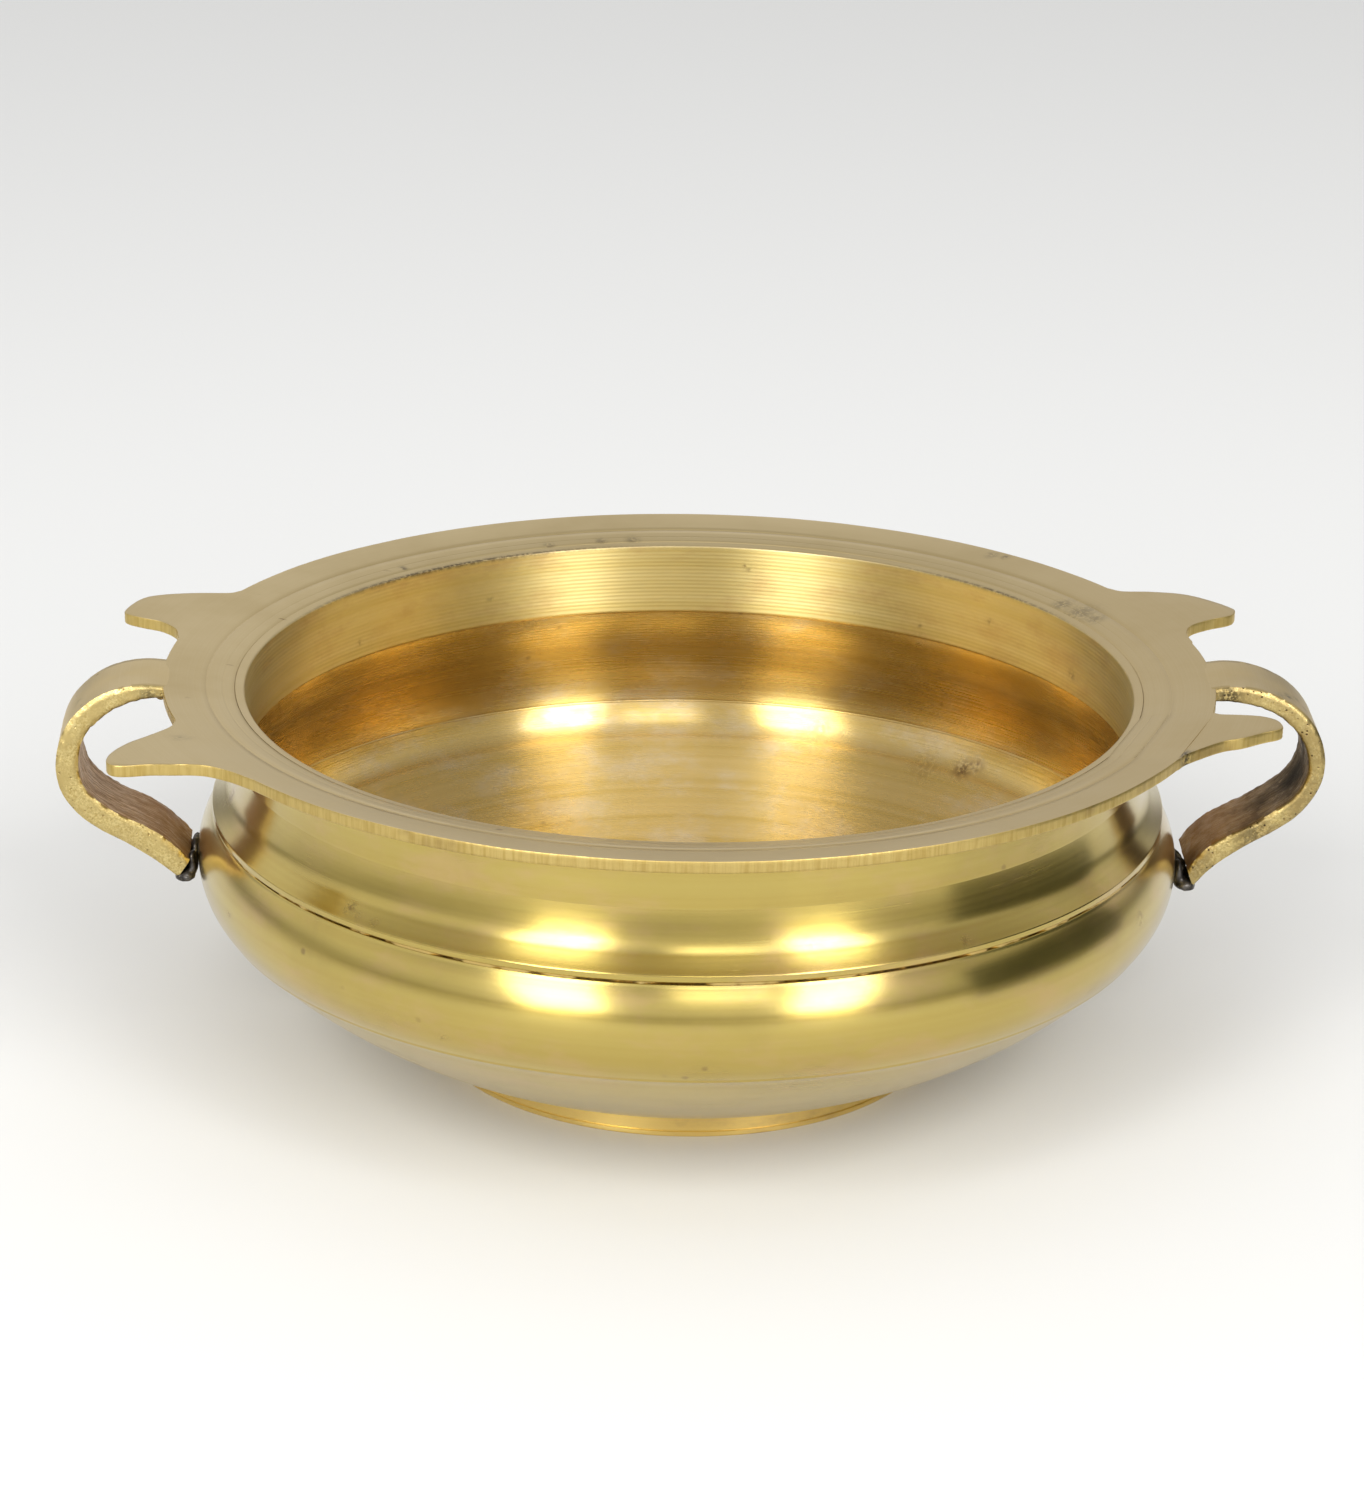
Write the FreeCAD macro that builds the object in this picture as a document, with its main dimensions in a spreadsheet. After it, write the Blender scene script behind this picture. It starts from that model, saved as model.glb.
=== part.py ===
"""Brass urli: a wide, low bowl with a dished rim plate, four pointed lugs and two strap handles.

The body is two turned castings, a neck collar and a belly shell, brazed together at a seam below the
shoulder. A rim plate is fitted round the top of the neck, a foot ring is brazed on under the belly, and
a bent strap handle runs from the plate's edge down to the belly on each side. Nothing on it moves.

Frame: millimetres, +Z up, +X along the two handles, origin on the bowl's axis in the plane of the foot.
"""
import FreeCAD, Part
import math
import os
import re

import Sketcher

# Every length is in millimetres and every angle in degrees.
DRIVING = {
    # foot ring: a short turned ring with one scribed line above its lip
    "FootRadius": 63.3, "FootWidth": 6.3, "FootHeight": 6.0, "FootLine": 1.5, "ScribeDepth": 0.3,
    # belly shell: flat base, shallow bowl, a soft crease, then the round belly up to the seam
    "BaseLift": 4.0, "BaseThick": 4.0, "FloorRadius": 55.0, "WallThick": 3.2, "BowlArc": 132.0,
    "CreaseRadius": 115.5, "CreaseHeight": 39.5, "BellyArc": 17.7,
    "SeamRadius": 116.3, "SeamHeight": 63.3, "SeamGap": 0.5, "SeamDepth": 0.7,
    # neck collar: a bead over the seam, an upright band, a hollow cove and the neck wall
    "BandRadius": 115.7, "BeadHeight": 1.4, "BandTop": 68.4, "CoveArc": 11.0, "CoveRadius": 110.6,
    "CoveTop": 76.4, "NeckRadius": 110.9, "NeckFoot": 78.0, "SpigotRadius": 110.3,
    "MouthRadius": 108.0, "MouthHeight": 93.3, "LipFoot": 75.0, "UndercutArc": 14.0,
    # rim plate: dished, with a crowned top
    "PlateRadius": 127.6, "PlateThick": 2.8, "PlateInHeight": 93.8, "PlateOutHeight": 97.5,
    "BlankRadius": 155.0, "CrownArc": 165.0, "LineRadius": 117.2, "LineHeight": 95.5, "LineWidth": 0.6,
    # strap handles
    "StrapWidth": 21.0, "StrapTop": 96.8, "StrapRoot": 2.6, "StrapThick": 4.8, "StrapEdge": 0.8,
    "StrapInset": 1.5, "StrapSwing": 3.2,
    # braze metal
    "RimFillet": 2.0, "FootFillet": 2.0,
    "DabLong": 5.2, "DabWide": 12.0, "DabTall": 6.4, "DabOut": 123.1, "DabHeight": 47.6,
    "RootBead": 1.9, "RootBeadLong": 19.0, "RootBeadHeight": 93.4,
}

# The two straps were bent by hand, so each has its own flat run, bend, slope and end.
STRAPS = {
    "right": {"Flat": 7.5, "Bend": 20.0, "Fall": 35.0, "End": 124.6},
    "left": {"Flat": 7.0, "Bend": 18.7, "Fall": 34.0, "End": 124.8},
}

# The four lugs were cut by eye: each outline is (radius, angle) pairs that start and end inside the plate.
LUGS = {
    "LeftBack": [(122, 151.6), (142.9, 159.3), (146.8, 162.3), (145.9, 165.8), (134.9, 167.1),
                 (129.5, 168.8), (121, 170.4)],
    "LeftFront": [(121, 197.5), (136.8, 202.7), (148.2, 205.9), (151.3, 208.1), (148.2, 209.6),
                  (133.4, 212.2), (128.6, 215.2), (121, 219.0)],
    "RightFront": [(121, 326.6), (128.2, 331.4), (137.4, 337.0), (144.8, 340.8), (143.2, 343.0),
                   (139.8, 343.9), (121, 344.3)],
    "RightBack": [(121, 9.4), (128.6, 11.9), (137.7, 14.0), (143.7, 14.6), (147.0, 16.4),
                  (144.6, 19.6), (141.0, 22.4), (134.8, 24.9), (121, 28.8)],
}

doc = FreeCAD.newDocument("urli")
sheet = doc.addObject("Spreadsheet::Sheet", "Dims")


def write_cells():
    """Puts every driving dimension into the spreadsheet, one aliased cell to a row."""
    cells = dict(DRIVING)
    for side, sizes in STRAPS.items():
        for name, value in sizes.items():
            cells[side.capitalize() + name] = value
    for lug, points in LUGS.items():
        for number, (radius, angle) in enumerate(points):
            cells[f"{lug}Out{number}x"] = radius
            cells[f"{lug}Turn{number}x"] = angle
    for row, (alias, value) in enumerate(cells.items(), start=1):
        sheet.set(f"A{row}", alias)
        sheet.set(f"B{row}", str(value))
        sheet.setAlias(f"B{row}", alias)
    doc.recompute()


def bound(text):
    """Turns an expression in plain alias names into one that reads the spreadsheet."""
    return re.sub(r"\b[A-Z]\w+", r"Dims.\g<0>", text)


def value_of(text):
    """The present value of such an expression."""
    return float(sheet.evalExpression(bound(text)))


def origin_plane(body, role):
    return next(plane for plane in body.Origin.OriginFeatures if plane.Role == role)


def new_sketch(body, role):
    """A sketch on one of the body's own origin planes."""
    sketch = body.newObject("Sketcher::SketchObject", body.Name + "_outline")
    sketch.AttachmentSupport = [(origin_plane(body, role), "")]
    sketch.MapMode = "FlatFace"
    return sketch


def tie(sketch, kind, *where, expression):
    """Adds one dimensional constraint and binds it to an expression."""
    number = sketch.addConstraint(Sketcher.Constraint(kind, *where, value_of(expression)))
    sketch.setExpression(f"Constraints[{number}]", bound(expression))


def arc_about(centre, radius, first, last):
    """The arc about a centre, anticlockwise from one point to another."""
    angles = [math.atan2(point.y - centre.y, point.x - centre.x) for point in (first, last)]
    return Part.ArcOfCircle(Part.Circle(centre, FreeCAD.Vector(0, 0, 1), radius), *angles)


def arc_between(start, end, radius, turn):
    """The short circular arc from start to end; turn is left or right as one travels along it."""
    along = end - start
    across = FreeCAD.Vector(-along.y, along.x, 0).normalize()
    rise = math.sqrt(radius ** 2 - (along.Length / 2) ** 2)
    if turn == "left":
        return arc_about((start + end) * 0.5 + across * rise, radius, start, end)
    return arc_about((start + end) * 0.5 - across * rise, radius, end, start)


def draw(sketch, outline):
    """Draws a closed outline of ("to", x, y) and ("arc", x, y, radius, turn) steps.

    Each step says where its edge ends, and the last edge ends where the first one starts.
    """
    points = [FreeCAD.Vector(value_of(step[1]), value_of(step[2]), 0) for step in outline]
    ends = []
    for number, step in enumerate(outline):
        start, end = points[number - 1], points[number]
        if step[0] == "arc":
            sketch.addGeometry(arc_between(start, end, value_of(step[3]), step[4]), False)
        else:
            sketch.addGeometry(Part.LineSegment(start, end), False)
        ends.append((2, 1) if step[-1] == "right" else (1, 2))
    for number, step in enumerate(outline):
        after = (number + 1) % len(outline)
        here = (number, ends[number][1])
        sketch.addConstraint(Sketcher.Constraint("Coincident", *here, after, ends[after][0]))
        for axis, kind, text in ((-2, "DistanceX", step[1]), (-1, "DistanceY", step[2])):
            if text == "0":
                sketch.addConstraint(Sketcher.Constraint("PointOnObject", *here, axis))
            else:
                tie(sketch, kind, -1, 1, *here, expression=text)
        if step[0] == "arc":
            tie(sketch, "Radius", number, expression=step[3])


def turned(name, outline):
    """A body turned about the bowl's axis from an outline of radius and height."""
    body = doc.addObject("PartDesign::Body", name)
    sketch = new_sketch(body, "XZ_Plane")
    draw(sketch, outline)
    turning = body.newObject("PartDesign::Revolution", name + "_turning")
    turning.Profile = sketch
    turning.ReferenceAxis = (sketch, ["V_Axis"])
    turning.Angle = 360
    sketch.Visibility = False
    doc.recompute()
    return body


def boolean(kind, name, base, tool):
    """A Part::Cut or Part::Common of two objects."""
    result = doc.addObject(kind, name)
    result.Base = base
    result.Tool = tool
    doc.recompute()
    return result


def foot_ring():
    inside = "FootRadius - FootWidth"
    return turned("foot_ring", [
        ("to", inside, "0"),
        ("to", "FootRadius - 0.4", "0"),
        ("arc", "FootRadius", "0.4", "0.4", "left"),
        ("to", "FootRadius", "FootLine - ScribeDepth"),
        ("to", "FootRadius - ScribeDepth", "FootLine"),
        ("to", "FootRadius", "FootLine + ScribeDepth"),
        ("to", "FootRadius", "FootHeight"),
        ("to", inside, "FootHeight"),
    ])


def belly_shell():
    """The lower casting. A raised disc under its base centres the foot ring."""
    top = "SeamHeight - SeamGap / 2"
    return turned("belly_shell", [
        ("to", "0", "BaseLift"),
        ("to", "FootRadius - FootWidth", "BaseLift"),
        ("to", "FootRadius - FootWidth", "FootHeight"),
        ("to", "FootRadius", "FootHeight"),
        ("arc", "CreaseRadius", "CreaseHeight", "BowlArc", "left"),
        ("arc", "SeamRadius", top, "BellyArc", "left"),
        ("to", "SeamRadius - WallThick", top),
        ("arc", "CreaseRadius - 0.87 * WallThick", "CreaseHeight + 0.55 * WallThick",
         "BellyArc - 0.9", "right"),
        ("arc", "FloorRadius", "BaseLift + BaseThick", "BowlArc - WallThick", "right"),
        ("to", "0", "BaseLift + BaseThick"),
    ])


def neck_collar():
    """The upper casting. Its spigot stands up through the rim plate and shows as the mouth's edge."""
    bottom = "SeamHeight + SeamGap / 2"
    return turned("neck_collar", [
        ("to", "SeamRadius - WallThick", bottom),
        ("to", "SeamRadius", bottom),
        ("arc", "BandRadius", "SeamHeight + BeadHeight", "0.8 * BeadHeight", "left"),
        ("to", "BandRadius - 0.2", "BandTop"),
        ("to", "BandRadius - 0.9", "BandTop + 0.8"),
        ("arc", "CoveRadius", "CoveTop", "CoveArc", "right"),
        ("to", "CoveRadius - 0.1", "NeckFoot - 0.3"),
        ("to", "NeckRadius", "NeckFoot"),
        ("to", "NeckRadius", "PlateInHeight - PlateThick"),
        ("to", "SpigotRadius", "PlateInHeight - PlateThick"),
        ("to", "SpigotRadius", "PlateInHeight"),
        ("to", "MouthRadius + 0.5", "MouthHeight + 0.1"),
        ("to", "MouthRadius", "MouthHeight - 0.4"),
        ("to", "MouthRadius", "LipFoot"),
        ("to", "MouthRadius + 1.2", "LipFoot - 1.0"),
        ("arc", "SeamRadius - WallThick", "SeamHeight + 4", "UndercutArc", "left"),
    ])


def plate_blank():
    """The dished plate before its edge was cut: a crowned top over an underside of the same curve."""
    return turned("plate_blank", [
        ("to", "SpigotRadius", "PlateInHeight - PlateThick"),
        ("arc", "BlankRadius", "PlateOutHeight - PlateThick", "CrownArc", "right"),
        ("to", "BlankRadius", "PlateOutHeight"),
        ("arc", "SpigotRadius", "PlateInHeight", "CrownArc", "left"),
    ])


def plate_edge():
    """The upright block that the plate's edge follows: a disc with the four lugs."""
    body = doc.addObject("PartDesign::Body", "plate_edge")
    disc = body.newObject("Sketcher::SketchObject", "plate_disc")
    disc.AttachmentSupport = [(origin_plane(body, "XY_Plane"), "")]
    disc.MapMode = "FlatFace"
    disc.addGeometry(Part.Circle(FreeCAD.Vector(), FreeCAD.Vector(0, 0, 1), value_of("PlateRadius")))
    disc.addConstraint(Sketcher.Constraint("Coincident", 0, 3, -1, 1))
    tie(disc, "Radius", 0, expression="PlateRadius")
    sketches = [disc]
    for lug, points in LUGS.items():
        sketch = new_sketch(body, "XY_Plane")
        steps = []
        for number in range(len(points)):
            out, turn = f"{lug}Out{number}x", f"{lug}Turn{number}x"
            steps.append(("to", f"{out} * cos({turn} * 1deg)", f"{out} * sin({turn} * 1deg)"))
        draw(sketch, steps)
        sketches.append(sketch)
    for sketch in sketches:
        pad = body.newObject("PartDesign::Pad", sketch.Name + "_pad")
        pad.Profile = sketch
        pad.setExpression("Length", bound("PlateOutHeight + 10"))
        sketch.Visibility = False
        doc.recompute()
    return body


def rim_plate():
    """The crowned blank cut to its outline, with one line scribed round it."""
    cut_out = boolean("Part::Common", "plate_cut_out", plate_blank(), plate_edge())
    scriber = doc.addObject("Part::Torus", "plate_scriber")
    scriber.setExpression("Radius1", bound("LineRadius"))
    scriber.setExpression("Radius2", bound("LineWidth"))
    scriber.setExpression(".Placement.Base.z", bound("LineHeight"))
    doc.recompute()
    return boolean("Part::Cut", "rim_plate", cut_out, scriber)


def strap_outline(sketch, side):
    """The strap's side view: flat at the plate, round a bend, then straight down and in to the belly.

    The inner line is concentric with the bend, so the metal thickens from the root to the bend.
    """
    flat, bend, fall, end = (side.capitalize() + size for size in ("Flat", "Bend", "Fall", "End"))
    top, thick, radius = value_of("StrapTop"), value_of("StrapThick"), value_of(bend)
    slope = math.radians(value_of(fall))
    centre = FreeCAD.Vector(value_of(f"PlateRadius + {flat}"), top - radius, 0)
    outward = FreeCAD.Vector(math.sin(slope), -math.cos(slope), 0)
    heading = FreeCAD.Vector(-math.cos(slope), -math.sin(slope), 0)
    root_top = FreeCAD.Vector(value_of("PlateRadius - StrapInset"), top, 0)
    root_low = root_top - FreeCAD.Vector(0, value_of("StrapRoot"), 0)
    bend_top = FreeCAD.Vector(centre.x, top, 0)
    bend_end = centre + outward * radius
    inner_end = centre + outward * (radius - thick)
    run = heading * ((bend_end.x - value_of(end)) / math.cos(slope))
    aim = centre - root_low
    lean = math.atan2(aim.y, aim.x) + math.asin((radius - thick) / aim.Length)
    inner_top = centre + FreeCAD.Vector(-math.sin(lean), math.cos(lean), 0) * (radius - thick)
    sketch.addGeometry([
        Part.LineSegment(root_top, bend_top),
        arc_about(centre, radius, bend_end, bend_top),
        Part.LineSegment(bend_end, bend_end + run),
        Part.LineSegment(bend_end + run, inner_end + run),
        Part.LineSegment(inner_end + run, inner_end),
        arc_about(centre, radius - thick, inner_end, inner_top),
        Part.LineSegment(inner_top, root_low),
        Part.LineSegment(root_low, root_top),
    ], False)
    for rule in [
        ("Horizontal", 0), ("Vertical", 7), ("Perpendicular", 2, 3), ("Parallel", 2, 4),
        ("Tangent", 0, 2, 1, 2), ("Tangent", 1, 1, 2, 1), ("Coincident", 2, 2, 3, 1),
        ("Coincident", 3, 2, 4, 1), ("Tangent", 4, 2, 5, 1), ("Tangent", 5, 2, 6, 1),
        ("Coincident", 6, 2, 7, 1), ("Coincident", 7, 2, 0, 1),
    ]:
        sketch.addConstraint(Sketcher.Constraint(*rule))
    tie(sketch, "DistanceX", -1, 1, 0, 1, expression="PlateRadius - StrapInset")
    tie(sketch, "DistanceY", -1, 1, 0, 1, expression="StrapTop")
    tie(sketch, "DistanceX", -1, 1, 0, 2, expression=f"PlateRadius + {flat}")
    tie(sketch, "Distance", 7, expression="StrapRoot")
    tie(sketch, "Distance", 3, expression="StrapThick")
    tie(sketch, "Radius", 1, expression=bend)
    tie(sketch, "DistanceX", -1, 1, 2, 2, expression=end)
    number = sketch.addConstraint(Sketcher.Constraint("Angle", 2, slope - math.pi))
    sketch.setExpression(f"Constraints[{number}]", bound(f"({fall} - 180) * 1deg"))


def long_edges(shape):
    """The names of the edges that run along both flanks of a strap, its end and root left sharp."""
    low, high = shape.BoundBox.YMin, shape.BoundBox.YMax
    names = []
    for number, edge in enumerate(shape.Edges, start=1):
        box = edge.BoundBox
        on_flank = box.YLength < 0.01 and min(abs(box.YMin - low), abs(box.YMin - high)) < 0.01
        if on_flank and box.XLength > 5:
            names.append(f"Edge{number}")
    return names


def strap_handle(side):
    """One strap: its side view made as wide as the strap, its long edges eased, its root cut to the plate."""
    body = doc.addObject("PartDesign::Body", f"strap_bar_{side}")
    sketch = new_sketch(body, "XZ_Plane")
    strap_outline(sketch, side)
    bar = body.newObject("PartDesign::Pad", f"strap_pad_{side}")
    bar.Profile = sketch
    bar.Midplane = True
    bar.setExpression("Length", bound("StrapWidth"))
    sketch.Visibility = False
    doc.recompute()
    eased = body.newObject("PartDesign::Fillet", f"strap_eased_{side}")
    eased.Base = (bar, long_edges(bar.Shape))
    eased.setExpression("Radius", bound("StrapEdge"))
    turn_to_side(body, side)
    cutter = doc.addObject("Part::Cylinder", f"strap_root_cutter_{side}")
    cutter.setExpression("Radius", bound("PlateRadius"))
    cutter.setExpression("Height", "20mm")
    cutter.setExpression(".Placement.Base.z", bound("StrapTop - 10"))
    doc.recompute()
    return boolean("Part::Cut", f"strap_handle_{side}", body, cutter)


def turn_to_side(thing, side, out="0", up="0"):
    """Places something built along +X out on its strap's own direction; both straps lean towards -Y."""
    swing = "(360 - StrapSwing)" if side == "right" else "(180 + StrapSwing)"
    x = f"({out}) * cos({swing} * 1deg) * 1mm"
    y = f"({out}) * sin({swing} * 1deg) * 1mm"
    z = f"({up}) * 1mm"
    turn = f"rotation(vector(0; 0; 1); {swing} * 1deg)"
    thing.setExpression("Placement", bound(f"placement(vector({x}; {y}; {z}); {turn})"))
    doc.recompute()


def strap_braze(side, strap, shell):
    """The dab of braze metal that holds a strap's end to the belly: it fills the gap that they leave."""
    dab = doc.addObject("Part::Ellipsoid", f"strap_dab_{side}")
    dab.setExpression("Radius1", bound("DabTall"))
    dab.setExpression("Radius2", bound("DabLong"))
    dab.setExpression("Radius3", bound("DabWide"))
    turn_to_side(dab, side, "DabOut", "DabHeight")
    outside = boolean("Part::Cut", f"strap_dab_outside_{side}", dab, shell)
    return boolean("Part::Cut", f"strap_braze_{side}", outside, strap)


def root_braze(side, strap, plate):
    """A bead of braze metal along the underside of the joint between a strap's root and the plate."""
    bead = doc.addObject("Part::Ellipsoid", f"root_bead_{side}")
    bead.setExpression("Radius1", bound("RootBead"))
    bead.setExpression("Radius2", bound("RootBead"))
    bead.setExpression("Radius3", bound("RootBeadLong / 2"))
    turn_to_side(bead, side, "PlateRadius", "RootBeadHeight")
    below = boolean("Part::Cut", f"root_bead_below_{side}", bead, plate)
    return boolean("Part::Cut", f"root_braze_{side}", below, strap)


def seam_braze():
    """The braze metal in the seam: a thin ring that stops short of the outside and swells inside."""
    low, high = "SeamHeight - SeamGap / 2", "SeamHeight + SeamGap / 2"
    return turned("seam_braze", [
        ("to", "SeamRadius - SeamDepth", low),
        ("to", "SeamRadius - SeamDepth", high),
        ("to", "SeamRadius - WallThick", high),
        ("arc", "SeamRadius - WallThick", low, "0.6 * SeamGap", "left"),
    ])


def crown_height(radius):
    """The height of the plate's crowned top at a radius, as an expression."""
    run, rise = "(BlankRadius - SpigotRadius)", "(PlateOutHeight - PlateInHeight)"
    reach = f"sqrt(CrownArc ^ 2 / ({run} ^ 2 + {rise} ^ 2) - 0.25)"
    centre = f"((SpigotRadius + BlankRadius) / 2 + {rise} * {reach})"
    centre_height = f"(PlateInHeight + PlateOutHeight) / 2 - {run} * {reach}"
    return f"{centre_height} + sqrt(CrownArc ^ 2 - ({radius} - {centre}) ^ 2)"


def rim_braze():
    """The fillet of braze metal round the neck, three-sided: neck, underside of the plate, open face."""
    outside = "(NeckRadius + RimFillet)"
    at_neck = crown_height("NeckRadius") + " - PlateThick"
    at_edge = crown_height(outside) + " - PlateThick"
    return turned("rim_braze", [
        ("to", "NeckRadius", at_neck),
        ("to", "NeckRadius", at_neck + " - RimFillet"),
        ("to", outside, at_edge),
    ])


def foot_braze():
    """The fillet of braze metal inside the foot ring, under the belly's base."""
    inside = "FootRadius - FootWidth"
    return turned("foot_braze", [
        ("to", inside, "BaseLift"),
        ("to", f"{inside} - FootFillet", "BaseLift"),
        ("arc", inside, "BaseLift - FootFillet", "1.4 * FootFillet", "right"),
    ])


def build():
    """Makes every piece of the bowl and gives them in the order in which they are put together."""
    shell = belly_shell()
    plate = rim_plate()
    pieces = [shell, foot_ring(), foot_braze(), seam_braze(), neck_collar(), plate, rim_braze()]
    for side in STRAPS:
        strap = strap_handle(side)
        pieces += [strap, root_braze(side, strap, plate), strap_braze(side, strap, shell)]
    return pieces


def check(pieces):
    """Stops if anything in the document failed, or if a piece isn't one valid solid."""
    for thing in doc.Objects:
        if "Invalid" in thing.State or "Error" in thing.State:
            raise RuntimeError(f"{thing.Name} failed: {thing.State}")
    for piece in pieces:
        shape = piece.Shape
        if shape.isNull() or not shape.isValid() or len(shape.Solids) != 1:
            raise RuntimeError(f"{piece.Label} is not one valid solid")


write_cells()
parts = build()
doc.recompute()
check(parts)
os.makedirs("parts", exist_ok=True)
for part in parts:
    part.Shape.exportStep(f"parts/{part.Label}.step")
    print(f"{part.Label:22s} {part.Shape.Volume / 1000:8.2f} cm3")
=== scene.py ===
"""Looks of a brass urli: two turned castings brazed together, a ground rim plate with four lugs,
a foot ring and two bent strap handles. Every piece is built here in fine mesh around the CAD frame.

Sizes inside the script are millimetres and become metres when a mesh is made. Angles are degrees,
anticlockwise from +X seen from above. The camera stands on the -Y side.
"""

import math

import bmesh
import bpy
import numpy as np
from mathutils import Matrix, Vector, noise


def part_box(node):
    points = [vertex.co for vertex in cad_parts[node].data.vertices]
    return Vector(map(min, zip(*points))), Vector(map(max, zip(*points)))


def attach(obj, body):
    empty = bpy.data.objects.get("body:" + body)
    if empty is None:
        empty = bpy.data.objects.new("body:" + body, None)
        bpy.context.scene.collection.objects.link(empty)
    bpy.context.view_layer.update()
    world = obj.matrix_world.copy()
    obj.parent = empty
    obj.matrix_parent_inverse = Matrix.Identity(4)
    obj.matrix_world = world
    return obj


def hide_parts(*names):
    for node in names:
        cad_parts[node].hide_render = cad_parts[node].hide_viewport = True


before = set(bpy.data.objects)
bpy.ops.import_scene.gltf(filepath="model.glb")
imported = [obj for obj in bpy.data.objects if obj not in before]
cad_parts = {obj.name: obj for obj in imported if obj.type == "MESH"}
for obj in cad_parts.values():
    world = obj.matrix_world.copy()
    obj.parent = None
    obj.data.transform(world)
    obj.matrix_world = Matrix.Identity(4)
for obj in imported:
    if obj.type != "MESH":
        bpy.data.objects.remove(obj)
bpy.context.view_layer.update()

MM = 0.001
TINY = 1e-6


# -------------------------------- sizes taken from the frame

def corner(node, side):
    """The lowest (0) or highest (1) corner of a CAD node, in millimetres."""
    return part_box(node)[side] / MM


WALL = 3.2
PLATE_THICK = 2.8
BRAZE_LEG = 2.0
FOOT_R = corner("foot_ring", 1).x
FOOT_TOP = corner("foot_ring", 1).z
FOOT_INSIDE = FOOT_R - 6.3
BASE_Z = corner("belly_shell", 0).z
FLOOR_Z = BASE_Z + 4.0
SEAM_LOW = corner("belly_shell", 1).z
SEAM_HIGH = corner("neck_collar", 0).z
SEAM_R = corner("neck_collar", 1).x
SEAM_INSIDE = SEAM_R - WALL
SEAM_LOW_INSIDE = SEAM_INSIDE + 0.38
MOUTH_TOP = corner("neck_collar", 1).z
NECK_R = corner("rim_braze", 1).x - BRAZE_LEG
SPIGOT_R = NECK_R - 0.6
MOUTH_R = SPIGOT_R - 2.3
PLATE_R = corner("rim_plate", 1).y
CROWN_ARC = 165.0
CROWN_END = (155.0, MOUTH_TOP + 3.7)


# -------------------------------- outlines

def arc_centre(start, end, radius, turn):
    """The centre of the short arc from start to end; turn is 1 for left and -1 for right."""
    start, end = np.array(start, float), np.array(end, float)
    along = end - start
    across = np.array([-along[1], along[0]]) / np.linalg.norm(along)
    rise = math.sqrt(radius ** 2 - (np.linalg.norm(along) / 2) ** 2)
    return (start + end) / 2 + turn * across * rise


def trace(steps, spacing):
    """Points along an outline of (r, z), (r, z, radius, turn) steps, about one spacing apart.

    A step may end with {"fine": spacing} where the surface has finer detail.
    """
    points = [np.array(steps[0][:2], float)]
    for step in steps[1:]:
        pitch = step[-1]["fine"] if isinstance(step[-1], dict) else spacing
        step = step[:-1] if isinstance(step[-1], dict) else step
        start, end = points[-1], np.array(step[:2], float)
        if len(step) == 2:
            count = max(1, math.ceil(np.linalg.norm(end - start) / pitch))
            points += [start + (end - start) * k / count for k in range(1, count + 1)]
            continue
        centre = arc_centre(start, end, step[2], step[3])
        first = math.atan2(*(start - centre)[::-1])
        last = math.atan2(*(end - centre)[::-1])
        sweep = (last - first + math.pi) % (2 * math.pi) - math.pi
        count = max(3, math.ceil(abs(sweep) * step[2] / pitch))
        for k in range(1, count + 1):
            turn = first + sweep * k / count
            points.append(centre + step[2] * np.array([math.cos(turn), math.sin(turn)]))
    return np.array(points)


def crown(radius):
    """Height of the plate's crowned top at a radius."""
    centre = arc_centre((SPIGOT_R, MOUTH_TOP), CROWN_END, CROWN_ARC, -1)
    return centre[1] + np.sqrt(CROWN_ARC ** 2 - (np.asarray(radius) - centre[0]) ** 2)


# -------------------------------- hand-made unevenness

def wobble(angle):
    """How far the castings are out of round at an angle in radians, in millimetres."""
    return 0.10 * np.cos(2 * angle + 0.6) + 0.06 * np.cos(3 * angle + 2.1) + 0.03 * np.cos(5 * angle)


def rough(points, size, seed, octaves=2):
    """Soft noise from about -1 to 1 at each point; size is the width of a bump in millimetres."""
    shift = Vector((seed * 17.3, seed * 5.1, seed * 9.7))
    values = []
    for point in points:
        spot = Vector(point) / size + shift
        values.append(noise.noise(spot) + (0.5 * noise.noise(spot * 2.1) if octaves > 1 else 0.0))
    return np.array(values)


# -------------------------------- meshes

def add_object(name, data):
    thing = bpy.data.objects.new(name, data)
    bpy.context.scene.collection.objects.link(thing)
    return thing


def make_mesh(name, points, faces, sharp=38.0):
    """A mesh object from points in millimetres, smooth but for edges sharper than an angle."""
    mesh = bpy.data.meshes.new(name)
    mesh.from_pydata([tuple(p) for p in np.asarray(points) * MM], [], faces)
    mesh.validate()
    mesh.update()
    mesh.set_sharp_from_angle(angle=math.radians(sharp))
    return add_object(name, mesh)


def grid_faces(rows, columns, wrap_rows=True):
    """Quads of a grid, closed round its columns, whose point (row, column) is row * columns + column."""
    faces = []
    for i in range(rows if wrap_rows else rows - 1):
        a, b = i * columns, (i + 1) % rows * columns
        for j in range(columns):
            k = (j + 1) % columns
            faces.append((a + j, a + k, b + k, b + j))
    return faces


def ring_points(r, z, angle):
    return np.stack([r * np.cos(angle), r * np.sin(angle), z], -1).reshape(-1, 3)


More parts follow.
